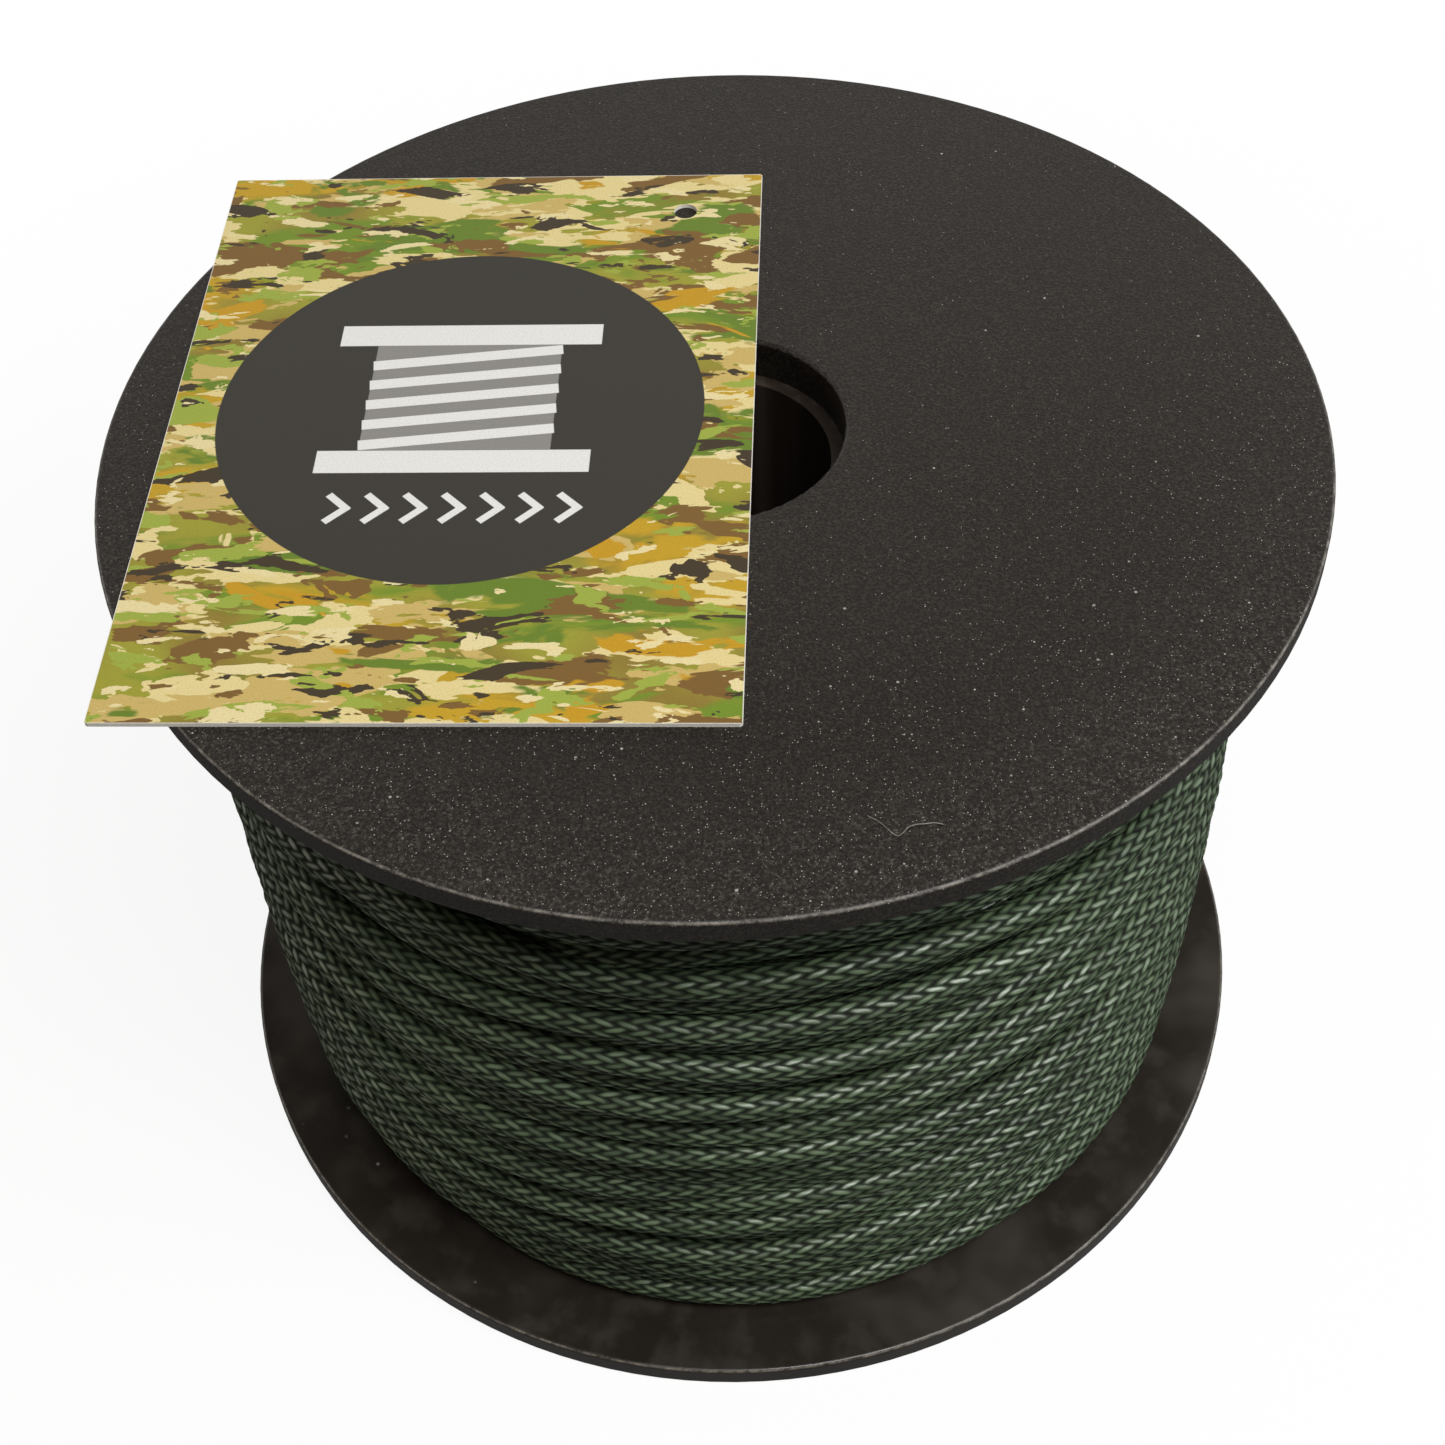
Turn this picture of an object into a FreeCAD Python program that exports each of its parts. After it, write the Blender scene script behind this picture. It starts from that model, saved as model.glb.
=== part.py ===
import FreeCAD, Part

import math
import os

# A flanged plastic reel, full of braided cord, with a printed card lying on its upper flange.
# The reel stands on its lower flange. The origin is the centre of that flange's outer face,
# +Z is the reel's axis, and -Y is the front. Sizes are in millimetres.

Vector = FreeCAD.Vector

# Flanges: two discs of one moulding, the upper one turned over
flange_radius = 65.0
flange_thickness = 3.0
flange_edge_round = 0.5
reel_height = 93.2

# Arbor tube: the bearing for a spindle, held end to end between a shoulder in each flange
arbor_bore_radius = 12.8
arbor_wall = 2.0
shoulder_width = 0.5
shoulder_thickness = 1.9
mouth_edge_round = 0.4
socket_depth = 6.0
collar_wall = 2.4

# Barrel: the tube that the cord is wound on, which fits over a spigot on each flange
barrel_radius = 27.0
barrel_wall = 2.0
spigot_depth = 8.0
spigot_wall = 2.0
fit_clearance = 0.1

# Ribs between a flange's collar and its spigot
rib_count = 6
rib_thickness = 1.8
rib_depth = 6.0

# Drive lugs on each spigot, in notches in the barrel's ends
lug_count = 3
lug_width = 6.0
lug_depth = 4.0
notch_clearance = 0.15

# Cord: the outer layer of turns, which swells a little at the reel's middle
cord_diameter = 3.8
rim_above_winding = 5.8
winding_crown = 1.8
least_turn_gap = 0.5
cord_to_flange_gap = 0.3
lay_gap = 0.2
start_angle = 62.0

# Cord: how far the turns wander along the reel, once and twice in each turn
sway_once = 0.55
sway_twice = 0.25
sway_once_angle = 20.0
sway_twice_angle = 75.0

# Cord: each end of the outer layer tucks down into the layers below it
tuck_bend_radius = 5.7
tuck_clearance = 0.4

# Cord: its first end, knotted inside the barrel just above the lower flange's spigot
anchor_angle = 90.0
anchor_clearance = 0.4
knot_clearance = 0.3
knot_tail = 8.0

# Card: lies flat on the upper flange, off centre and a little turned
card_width = 62.8
card_length = 85.6
card_thickness = 0.5
card_corner_radius = 0.35
card_hole_radius = 1.35
card_hole_from_side = 8.8
card_hole_from_end = 7.0
card_centre_x = -26.7
card_centre_y = 2.5
card_turn = -4.2

# Places and sizes that follow from those above
axis = Vector(0, 0, 1)
arbor_radius = arbor_bore_radius + arbor_wall
mouth_radius = arbor_radius - shoulder_width
mouth_depth = flange_thickness + shoulder_thickness
collar_radius = arbor_radius + fit_clearance + collar_wall
collar_depth = mouth_depth + socket_depth
barrel_inner_radius = barrel_radius - barrel_wall
spigot_radius = barrel_inner_radius - fit_clearance
spigot_top = flange_thickness + spigot_depth
barrel_top = reel_height - flange_thickness
cord_radius = cord_diameter / 2
winding_radius = flange_radius - rim_above_winding
first_turn_height = flange_thickness + cord_to_flange_gap + cord_radius
winding_climb = reel_height - 2 * first_turn_height
turn_count = int(winding_climb / (cord_diameter + least_turn_gap))
turn_pitch = winding_climb / turn_count
knot_radius = (barrel_inner_radius - arbor_radius) / 2 - knot_clearance
anchor_height = spigot_top + knot_clearance + knot_radius


def radial(angle):
    """The outward direction at an angle, in degrees, about the reel's axis."""
    return Vector(math.cos(math.radians(angle)), math.sin(math.radians(angle)), 0)


def tube(outer_radius, inner_radius, low, high):
    """A plain tube on the reel's axis between two heights."""
    outside = Part.makeCylinder(outer_radius, high - low, Vector(0, 0, low))
    return outside.cut(Part.makeCylinder(inner_radius, high - low, Vector(0, 0, low)))


def radial_bar(inner_radius, outer_radius, width, low, high, angle):
    """A straight bar that runs outward at an angle, between two radii and two heights."""
    corner = Vector(inner_radius, -width / 2, low)
    bar = Part.makeBox(outer_radius - inner_radius, width, high - low, corner)
    return bar.rotate(Vector(0, 0, 0), axis, angle)


def circles_at(shape, radius, height):
    """The round edges of a shape that have this radius and lie at this height."""
    found = []
    for edge in shape.Edges:
        curve = edge.Curve
        if isinstance(curve, Part.Circle) and abs(curve.Radius - radius) < 0.001:
            if abs(curve.Center.z - height) < 0.001:
                found.append(edge)
    return found


def make_flange():
    """A flange with its outer face at height 0, and its collar, spigot, ribs and lugs above it."""
    disc = tube(flange_radius, mouth_radius, 0, flange_thickness)
    edges = circles_at(disc, flange_radius, 0) + circles_at(disc, flange_radius, flange_thickness)
    disc = disc.makeFillet(flange_edge_round, edges)
    disc = disc.makeFillet(mouth_edge_round, circles_at(disc, mouth_radius, 0))
    pieces = [
        tube(collar_radius, mouth_radius, flange_thickness, mouth_depth),
        tube(collar_radius, arbor_radius + fit_clearance, mouth_depth, collar_depth),
        tube(spigot_radius, spigot_radius - spigot_wall, flange_thickness, spigot_top),
    ]
    rib_inner = collar_radius - collar_wall / 2
    rib_outer = spigot_radius - spigot_wall / 2
    for i in range(rib_count):
        angle = 360 * (i + 0.5) / rib_count
        pieces.append(radial_bar(rib_inner, rib_outer, rib_thickness,
                                 flange_thickness, flange_thickness + rib_depth, angle))
    lug_inner = spigot_radius - spigot_wall / 2
    for i in range(lug_count):
        bar = radial_bar(lug_inner, barrel_radius + lug_width, lug_width,
                         flange_thickness, flange_thickness + lug_depth, 360 * i / lug_count)
        pieces.append(bar.common(Part.makeCylinder(barrel_radius, spigot_top)))
    return disc.multiFuse(pieces).removeSplitter()


def make_barrel():
    """The barrel, with notches for the lugs at both ends and a hole for the cord's first end."""
    shape = tube(barrel_radius, barrel_inner_radius, flange_thickness, barrel_top)
    notch_width = lug_width + 2 * notch_clearance
    notch_depth = lug_depth + notch_clearance
    cutters = []
    for i in range(lug_count):
        for low, high in ((flange_thickness, flange_thickness + notch_depth),
                          (barrel_top - notch_depth, barrel_top)):
            cutters.append(radial_bar(barrel_inner_radius - barrel_wall, barrel_radius + barrel_wall,
                                      notch_width, low, high, 360 * i / lug_count))
    hole_start = radial(anchor_angle) * (barrel_inner_radius - barrel_wall)
    hole_start.z = anchor_height
    cutters.append(Part.makeCylinder(cord_radius + anchor_clearance, 3 * barrel_wall,
                                     hole_start, radial(anchor_angle)))
    return shape.cut(cutters)


def make_arbor_tube():
    """The arbor tube, from one flange's shoulder to the other's."""
    return tube(arbor_radius, arbor_bore_radius, mouth_depth, reel_height - mouth_depth)


def turn_radius(height):
    """Radius of the outer layer's centre line at a height, largest half way up."""
    share = (2 * height - reel_height) / winding_climb
    return winding_radius - cord_radius - winding_crown * share * share


def winding_point(turn):
    """Point on the outer layer's centre line, a number of turns from its lower end."""
    degrees = start_angle + 360 * turn
    sway = sway_once * math.sin(math.radians(degrees + sway_once_angle))
    sway += sway_twice * math.sin(math.radians(2 * degrees + sway_twice_angle))
    height = first_turn_height + turn_pitch * turn + sway * math.sin(math.pi * turn / turn_count)
    point = radial(degrees) * turn_radius(height)
    point.z = height
    return point


def winding_direction(turn):
    """Direction in which the outer layer runs at that place."""
    step = 0.0001
    return (winding_point(turn + step) - winding_point(turn - step)).normalize()


def arc(start, start_direction, end):
    """The arc that leaves a point in a direction and reaches another point."""
    chord = end - start
    bend = start_direction.cross(chord).cross(start_direction).normalize()
    radius = chord.dot(chord) / (2 * chord.dot(bend))
    centre = start + bend * radius
    middle = (start + end) * 0.5 - centre
    return Part.Arc(start, centre + middle.normalize() * radius, end).toShape()


def biarc(start, start_direction, end, end_direction):
    """Two arcs that meet smoothly and join two points in their directions."""
    chord = end - start
    both = start_direction + end_direction
    square = 2 * (1 - start_direction.dot(end_direction))
    along = chord.dot(both)
    reach = (math.sqrt(along * along + square * chord.dot(chord)) - along) / square
    meeting = (start + end + (start_direction - end_direction) * reach) * 0.5
    meeting_direction = (meeting - (start + start_direction * reach)).normalize()
    return [arc(start, start_direction, meeting), arc(meeting, meeting_direction, end)]


def end_frame(turn):
    """Place of an end of the outer layer, the direction in which it runs, and the way inward."""
    point = winding_point(turn)
    forward = winding_direction(turn)
    inward = Vector(-point.x, -point.y, 0)
    inward = (inward - forward * inward.dot(forward)).normalize()
    return point, forward, inward


def end_tuck(turn, side):
    """Centre line of a tucked end: points of its straight, its bend, and where the turns begin."""
    point, forward, inward = end_frame(turn)
    centre = point + inward * tuck_bend_radius
    bend_foot = centre + forward * (side * tuck_bend_radius)
    slant = (forward * side - inward).normalize()
    bend_middle = centre + slant * tuck_bend_radius
    return [bend_foot + inward * cord_diameter, bend_foot, bend_middle, point]


def make_outer_layer():
    """The outer layer of turns as one unbroken tube, with both ends tucked inward."""
    foot, bend_foot, bend_middle, point = end_tuck(0, -1)
    edges = [Part.LineSegment(foot, bend_foot).toShape(),
             Part.Arc(bend_foot, bend_middle, point).toShape()]
    for quarter in range(4 * turn_count):
        here = quarter / 4
        there = (quarter + 1) / 4
        edges += biarc(winding_point(here), winding_direction(here),
                       winding_point(there), winding_direction(there))
    top_foot, top_bend_foot, top_bend_middle, top_point = end_tuck(turn_count, 1)
    edges += [Part.Arc(top_point, top_bend_middle, top_bend_foot).toShape(),
              Part.LineSegment(top_bend_foot, top_foot).toShape()]
    path = Part.Wire(edges)
    section = Part.Wire(Part.Circle(foot, bend_foot - foot, cord_radius).toShape())
    return path, path.makePipeShell([section], True)


def make_tuck_pocket(turn, side):
    """The space in the inner layers that a tucked end goes down into."""
    point, forward, inward = end_frame(turn)
    across = forward.cross(inward) * (cord_radius + tuck_clearance)
    floor = point + inward * (tuck_bend_radius + cord_diameter)
    far = floor + forward * (side * (tuck_bend_radius + cord_radius + tuck_clearance))
    near = floor - forward * (side * cord_radius)
    outline = Part.makePolygon([far - across, far + across, near + across, near - across,
                                far - across])
    height = tuck_bend_radius + 2 * cord_diameter
    return Part.Face(outline).extrude(inward * -height)


def make_inner_layers():
    """The packed layers below the outer one, as one plain ring with the outer layer's crown."""
    low = flange_thickness + lay_gap
    high = barrel_top - lay_gap
    middle = reel_height / 2
    inner = barrel_radius + lay_gap
    below = cord_radius + lay_gap
    outer_low = Vector(turn_radius(low) - below, 0, low)
    outer_middle = Vector(turn_radius(middle) - below, 0, middle)
    outer_high = Vector(turn_radius(high) - below, 0, high)
    inner_low = Vector(inner, 0, low)
    inner_high = Vector(inner, 0, high)
    profile = Part.Wire([Part.LineSegment(inner_low, outer_low).toShape(),
                         Part.Arc(outer_low, outer_middle, outer_high).toShape(),
                         Part.LineSegment(outer_high, inner_high).toShape(),
                         Part.LineSegment(inner_high, inner_low).toShape()])
    ring = Part.Face(profile).revolve(Vector(0, 0, 0), axis, 360)
    return ring.cut([make_tuck_pocket(0, -1), make_tuck_pocket(turn_count, 1)])


def make_inner_end():
    """The cord's first end: through the barrel's wall to a knot with a short tail inside."""
    outward = radial(anchor_angle)
    height = Vector(0, 0, anchor_height)
    knot_centre = outward * (arbor_radius + knot_clearance + knot_radius) + height
    seat = math.sqrt((barrel_radius + lay_gap) ** 2 - cord_radius ** 2)
    length = seat - arbor_radius - knot_clearance - knot_radius
    cord = Part.makeCylinder(cord_radius, length, knot_centre, outward)
    tail = Part.makeCylinder(cord_radius, knot_radius + knot_tail, knot_centre, axis)
    return Part.makeSphere(knot_radius, knot_centre).fuse([cord, tail])


def make_card():
    """The card, with its punched hole near the far right corner."""
    card = Part.makeBox(card_width, card_length, card_thickness,
                        Vector(-card_width / 2, -card_length / 2, reel_height))
    uprights = [edge for edge in card.Edges if abs(edge.tangentAt(edge.FirstParameter).z) > 0.9]
    card = card.makeFillet(card_corner_radius, uprights)
    hole_place = Vector(card_width / 2 - card_hole_from_side,
                        card_length / 2 - card_hole_from_end, reel_height)
    card = card.cut(Part.makeCylinder(card_hole_radius, card_thickness, hole_place))
    card.rotate(Vector(0, 0, 0), axis, card_turn)
    return card.translate(Vector(card_centre_x, card_centre_y, 0))


def least_gap(path):
    """Least distance between the surfaces of two turns, measured on points of the path."""
    per_turn = 96
    points = path.discretize(Number=int(per_turn * turn_count) + 1)
    least = math.inf
    for i, point in enumerate(points):
        for other in points[i + per_turn // 2:i + 3 * per_turn // 2]:
            least = min(least, point.distanceToPoint(other))
    return least - cord_diameter


os.makedirs("parts", exist_ok=True)

lower_flange = make_flange()
upper_flange = make_flange()
upper_flange.rotate(Vector(0, 0, 0), Vector(1, 0, 0), 180)
upper_flange.translate(Vector(0, 0, reel_height))
cord_path, cord_outer_layer = make_outer_layer()

nodes = {
    "lower_flange": lower_flange,
    "upper_flange": upper_flange,
    "barrel": make_barrel(),
    "arbor_tube": make_arbor_tube(),
    "cord_inner_end": make_inner_end(),
    "cord_inner_layers": make_inner_layers(),
    "cord_outer_layer": cord_outer_layer,
    "hang_card": make_card(),
}
for name, shape in nodes.items():
    shape.exportStep("parts/" + name + ".step")
    print(name, "valid", shape.isValid(), "solids", len(shape.Solids),
          "volume %.1f mm3" % shape.Volume)

section_area = math.pi * cord_radius ** 2
print("outer layer: %d turns, pitch %.2f mm" % (turn_count, turn_pitch))
print("outer layer: path %.1f mm, tightest bend %.2f mm" % (cord_path.Length, min(
    edge.Curve.Radius for edge in cord_path.Edges if isinstance(edge.Curve, Part.Circle))))
print("outer layer: volume over section times length %.5f"
      % (cord_outer_layer.Volume / (section_area * cord_path.Length)))
print("outer layer: least gap to itself %.3f mm" % least_gap(cord_path))
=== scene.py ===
import math
import bmesh
import bpy
import numpy as np
from mathutils import Matrix, Vector


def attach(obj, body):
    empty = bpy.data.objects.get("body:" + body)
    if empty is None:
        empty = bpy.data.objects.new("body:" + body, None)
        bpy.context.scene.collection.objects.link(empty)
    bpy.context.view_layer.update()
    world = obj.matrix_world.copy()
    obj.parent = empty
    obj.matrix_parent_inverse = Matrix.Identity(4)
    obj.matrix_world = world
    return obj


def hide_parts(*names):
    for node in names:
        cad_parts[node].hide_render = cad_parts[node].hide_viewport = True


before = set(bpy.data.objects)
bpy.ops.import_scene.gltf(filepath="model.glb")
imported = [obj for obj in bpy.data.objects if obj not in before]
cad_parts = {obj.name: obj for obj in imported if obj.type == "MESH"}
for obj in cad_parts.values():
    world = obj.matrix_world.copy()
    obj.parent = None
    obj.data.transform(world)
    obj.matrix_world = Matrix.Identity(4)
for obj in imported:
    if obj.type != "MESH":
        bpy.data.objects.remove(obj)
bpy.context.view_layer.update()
mm = 0.001


def new_object(name, data):
    """A new object in the scene, made of a camera's, a lamp's or a mesh's data."""
    made = bpy.data.objects.new(name, data)
    bpy.context.scene.collection.objects.link(made)
    return made


# The camera stands in front of the reel and looks down on it, a little turned about its own
# line of sight, so that all of the upper flange shows, and the cord's front half below it.
camera_place = Vector((0, -181.42, 255.31)) * mm
looks_down = math.radians(49.26)
looks_left = math.radians(0.174)
leans = math.radians(-3.292)
lens_on_36_mm = 56.63

level_right = Vector((math.cos(looks_left), math.sin(looks_left), 0))
looking = Vector((-math.sin(looks_left) * math.cos(looks_down),
                  math.cos(looks_left) * math.cos(looks_down), -math.sin(looks_down)))
straight_up = level_right.cross(looking)
picture_right = math.cos(leans) * level_right + math.sin(leans) * straight_up
picture_up = math.cos(leans) * straight_up - math.sin(leans) * level_right

camera = new_object("camera", bpy.data.cameras.new("camera"))
camera.data.lens = lens_on_36_mm
camera.data.sensor_width = 36
camera.data.clip_start = 0.01
camera.matrix_world = (Matrix.Translation(camera_place)
                       @ Matrix((picture_right, picture_up, -looking)).transposed().to_4x4())
bpy.context.scene.camera = camera
bpy.context.scene.view_settings.view_transform = "Standard"


# The floor is a wide pale sheet, which shows white and keeps the reel's shadow. One soft lamp
# stands high in front of it and to its right. The room's light is dim from above, brighter from
# the walls at the sides and the back, and a little warm except from the right.
def srgb(red, green, blue):
    """A colour as it is read off a picture, 0 to 255, in the shaders' own scale."""
    share = [c / 255 for c in (red, green, blue)]
    return (*[s / 12.92 if s < 0.04045 else ((s + 0.055) / 1.055) ** 2.4 for s in share], 1)


def wire(tree, kind, feeds=None, **settings):
    """Adds one shader node. feeds gives its inputs: numbers, colours or other nodes' outputs."""
    made = tree.nodes.new("ShaderNode" + kind)
    for name, value in settings.items():
        setattr(made, name, value)
    for name, value in (feeds or {}).items():
        if isinstance(value, bpy.types.NodeSocket):
            tree.links.new(value, made.inputs[name])
        else:
            made.inputs[name].default_value = value
    return made


def reckon(tree, operation, first, second=0.0, third=0.0):
    """The result of one Math node on numbers or other nodes' outputs."""
    return wire(tree, "Math", {0: first, 1: second, 2: third}, operation=operation).outputs[0]


def new_material(name):
    """An empty material, its tree and its output."""
    material = bpy.data.materials.new(name)
    material.use_nodes = True
    material.node_tree.nodes.clear()
    return material, material.node_tree, wire(material.node_tree, "OutputMaterial")


def seen_directly(tree, in_gloss=1.0):
    """1 for what the camera sees itself or in gloss or glass, and 0 for light on the object."""
    path = wire(tree, "LightPath").outputs
    seen = reckon(tree, "MAXIMUM", path["Is Camera Ray"], path["Is Transmission Ray"])
    return reckon(tree, "MAXIMUM", seen, reckon(tree, "MULTIPLY", path["Is Glossy Ray"],
                                                in_gloss))


def fade(tree, value, low, high):
    """0 below low, 1 above high, and smooth between; low may be the larger one."""
    made = wire(tree, "MapRange", {"Value": value, "From Min": low, "From Max": high},
                interpolation_type="SMOOTHSTEP")
    return made.outputs[0]


def blend_colours(tree, share, first, second):
    """first where share is 0 and second where it is 1."""
    return wire(tree, "Mix", {0: share, 6: first, 7: second}, data_type="RGBA").outputs[2]


def mesh_of(name, shape):
    """The mesh of a finished shape, which is freed."""
    mesh = bpy.data.meshes.new(name)
    shape.to_mesh(mesh)
    shape.free()
    return mesh


def set_surface(tree, output, feeds):
    """Ends a material with a Principled BSDF and its inputs."""
    shader = wire(tree, "BsdfPrincipled", feeds)
    tree.links.new(shader.outputs[0], output.inputs["Surface"])


# Near the reel the sheet shows a little of its own tone, and with it the reel's shadow. Further
# out it is plain white, and down in the bore it has no glow at all.
floor_radius = 3.0
floor_in_gloss = 0.06
sheet_tone_in_light, sheet_tone_seen = 0.1, 0.9
glow_at_reel = 0.9
glow_grows_from, glow_full_from = 0.09, 0.26
bore_shade_to, bore_shade_gone = 0.03, 0.06

floor_material, tree, output = new_material("pale_floor")
floor_seen = seen_directly(tree, floor_in_gloss)
sheet_tone = wire(tree, "MapRange", {"Value": floor_seen, "To Min": sheet_tone_in_light,
                                     "To Max": sheet_tone_seen})
sheet_shader = wire(tree, "BsdfPrincipled", {"Base Color": sheet_tone.outputs[0],
                                             "Roughness": 0.9, "Specular IOR Level": 0.1})
white_shader = wire(tree, "Emission", {"Color": (1, 1, 1, 1), "Strength": 1.0})
from_reel = wire(tree, "VectorMath", {0: wire(tree, "TexCoord").outputs["Object"]},
                 operation="LENGTH").outputs["Value"]
glow_here = wire(tree, "MapRange", {"Value": from_reel, "From Min": glow_grows_from,
                                    "From Max": glow_full_from, "To Min": glow_at_reel,
                                    "To Max": 1.0}, interpolation_type="SMOOTHSTEP").outputs[0]
clear_of_bore = fade(tree, from_reel, bore_shade_to, bore_shade_gone)
share_white = reckon(tree, "MULTIPLY", floor_seen,
                     reckon(tree, "MULTIPLY", glow_here, clear_of_bore))
floor_mix = wire(tree, "MixShader", {0: share_white, 1: sheet_shader.outputs[0],
                                     2: white_shader.outputs[0]})
tree.links.new(floor_mix.outputs[0], output.inputs["Surface"])

floor_shape = bmesh.new()
bmesh.ops.create_circle(floor_shape, cap_ends=True, segments=96, radius=floor_radius)
floor = new_object("floor", mesh_of("floor", floor_shape))
floor.data.materials.append(floor_material)

# The camera and glossy plastic see the walls plain white. As light on the object they are dimmer:
# room_light comes from above, and wall_light more from the sides and the back.
room_light = 0.1
wall_light = 0.85
warm_light = (1.0, 0.9, 0.78, 1)
cool_light = (0.86, 1.0, 1.04, 1)

room = bpy.data.worlds.new("room")
room.use_nodes = True
tree = room.node_tree
tree.nodes.clear()
direction = wire(tree, "TexCoord").outputs["Generated"]
rightward, backward, upward = wire(tree, "SeparateXYZ", {0: direction}).outputs
below_ceiling = fade(tree, upward, 0.75, 0.35)
behind = wire(tree, "VectorMath", {0: direction, 1: (0.2, 0.98, 0)}, operation="DOT_PRODUCT")
wall_in_gloss = reckon(tree, "MULTIPLY", below_ceiling,
                       fade(tree, behind.outputs["Value"], -0.35, 0.1))
side_walls = fade(tree, reckon(tree, "ABSOLUTE", rightward), 0.65, 0.95)
back_wall = fade(tree, backward, 0.35, 0.8)
pale_walls = reckon(tree, "MULTIPLY", below_ceiling,
                    reckon(tree, "MAXIMUM", side_walls, back_wall))
from_above = reckon(tree, "MULTIPLY", fade(tree, upward, 0.0, 0.5), room_light)
room_dim = reckon(tree, "MULTIPLY_ADD", pale_walls, wall_light, from_above)
seen = seen_directly(tree, wall_in_gloss)
room_level = wire(tree, "MapRange", {"Value": seen, "To Min": room_dim, "To Max": 1.0})
room_tint = blend_colours(tree, fade(tree, rightward, 0.3, 0.9), warm_light, cool_light)
room_tint = blend_colours(tree, seen, room_tint, (1, 1, 1, 1))
room_shader = wire(tree, "Background", {"Color": room_tint,
                                        "Strength": room_level.outputs[0]})
tree.links.new(room_shader.outputs[0], wire(tree, "OutputWorld").inputs["Surface"])
bpy.context.scene.world = room

lamp_place = Vector((0.36, -0.33, 0.81))
lamp_aims_at = Vector((0, 0, 0.05))
lamp_sides = (0.9, 0.3)
lamp_power = 9.4

lamp = new_object("lamp", bpy.data.lights.new("lamp", "AREA"))
lamp.data.shape = "RECTANGLE"
lamp.data.size, lamp.data.size_y = lamp_sides
lamp.data.energy = lamp_power
lamp_faces = (lamp_place - lamp_aims_at).normalized()
lamp_front = lamp_faces.cross(Vector((1, 0, 0))).normalized()
lamp.matrix_world = (Matrix.Translation(lamp_place)
                     @ Matrix((lamp_front.cross(lamp_faces), lamp_front,
                               lamp_faces)).transposed().to_4x4())


# Lower flange: an injection moulded black disc with a collar and spigot on its inner face. That
# face came off a polished side of the mould and is half glossy; the outer face is finely grained.
def new_effect(name, takes, gives):
    """A node group with named inputs and outputs, for an effect that several finishes use."""
    group = bpy.data.node_groups.new(name, "ShaderNodeTree")
    for direction, sockets in (("INPUT", takes), ("OUTPUT", gives)):
        for label, kind in sockets.items():
            group.interface.new_socket(name=label, in_out=direction,
                                       socket_type="NodeSocket" + kind)
    return (group, group.nodes.new("NodeGroupInput").outputs,
            group.nodes.new("NodeGroupOutput").inputs)


def use_effect(tree, group, feeds):
    """Places an effect in a material with its own values."""
    made = tree.nodes.new("ShaderNodeGroup")
    made.node_tree = group
    for name, value in feeds.items():
        if isinstance(value, bpy.types.NodeSocket):
            tree.links.new(value, made.inputs[name])
        else:
            made.inputs[name].default_value = value
    return made.outputs


def noise_at(tree, place, scale, detail=2.0, roughness=0.5):
    """Noise around 0.5 whose lumps are about 1 / scale metres across."""
    return wire(tree, "TexNoise", {"Vector": place, "Scale": scale, "Detail": detail,
                                   "Roughness": roughness}).outputs["Fac"]


def relief_of(tree, height, strength, distance):
    """The normal of a finish whose bumps stand up to distance."""
    return wire(tree, "Bump", {"Height": height, "Strength": strength,
                               "Distance": distance}).outputs[0]


def paint_node(name, material):
    """Gives a CAD node its finish."""
    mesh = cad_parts[name].data
    mesh.materials.clear()
    mesh.materials.append(material)


def moulded_grain():
    """The fine bumps of a grained mould, with a slow unevenness of its gloss."""
    group, takes, gives = new_effect("moulded_grain", {"Place": "Vector", "Grains": "Float"},
                                     {"Height": "Float", "Cloud": "Float"})
    fine = noise_at(group, takes["Place"], takes["Grains"], 2.0, 0.6)
    pits = wire(group, "TexVoronoi", {"Vector": takes["Place"], "Scale": takes["Grains"]})
    height = reckon(group, "MULTIPLY_ADD", pits.outputs["Distance"], 0.6, fine)
    group.links.new(height, gives["Height"])
    group.links.new(noise_at(group, takes["Place"], 55.0, 4.0, 0.6), gives["Cloud"])
    return group


def settled_dust():
    """Specks of dust: a few in each small cell of space, each a little dot of its own size."""
    group, takes, gives = new_effect(
        "settled_dust", {"Place": "Vector", "Cells": "Float", "Share": "Float"},
        {"Speck": "Float"})
    cells = wire(group, "TexVoronoi", {"Vector": takes["Place"], "Scale": takes["Cells"],
                                       "Randomness": 1.0})
    chance = wire(group, "SeparateColor", {0: cells.outputs["Color"]}).outputs
    size = reckon(group, "MULTIPLY", chance[1], chance[1])
    reach = reckon(group, "MULTIPLY_ADD", size, 0.2, 0.08)
    near = fade(group, cells.outputs["Distance"], reach, reckon(group, "MULTIPLY", reach, 0.6))
    kept = reckon(group, "LESS_THAN", chance[0], takes["Share"])
    bright = reckon(group, "MULTIPLY_ADD", chance[2], 0.85, 0.15)
    speck = reckon(group, "MULTIPLY", near, kept)
    group.links.new(reckon(group, "MULTIPLY", speck, bright), gives["Speck"])
    return group


grain = moulded_grain()
dust = settled_dust()
flange_radius = 65.0 * mm
flange_thickness = 3.0 * mm
rim_line_width, line_full_on_rim, line_full_on_face = 0.36 * mm, 0.16 * mm, 0.12 * mm


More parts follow.
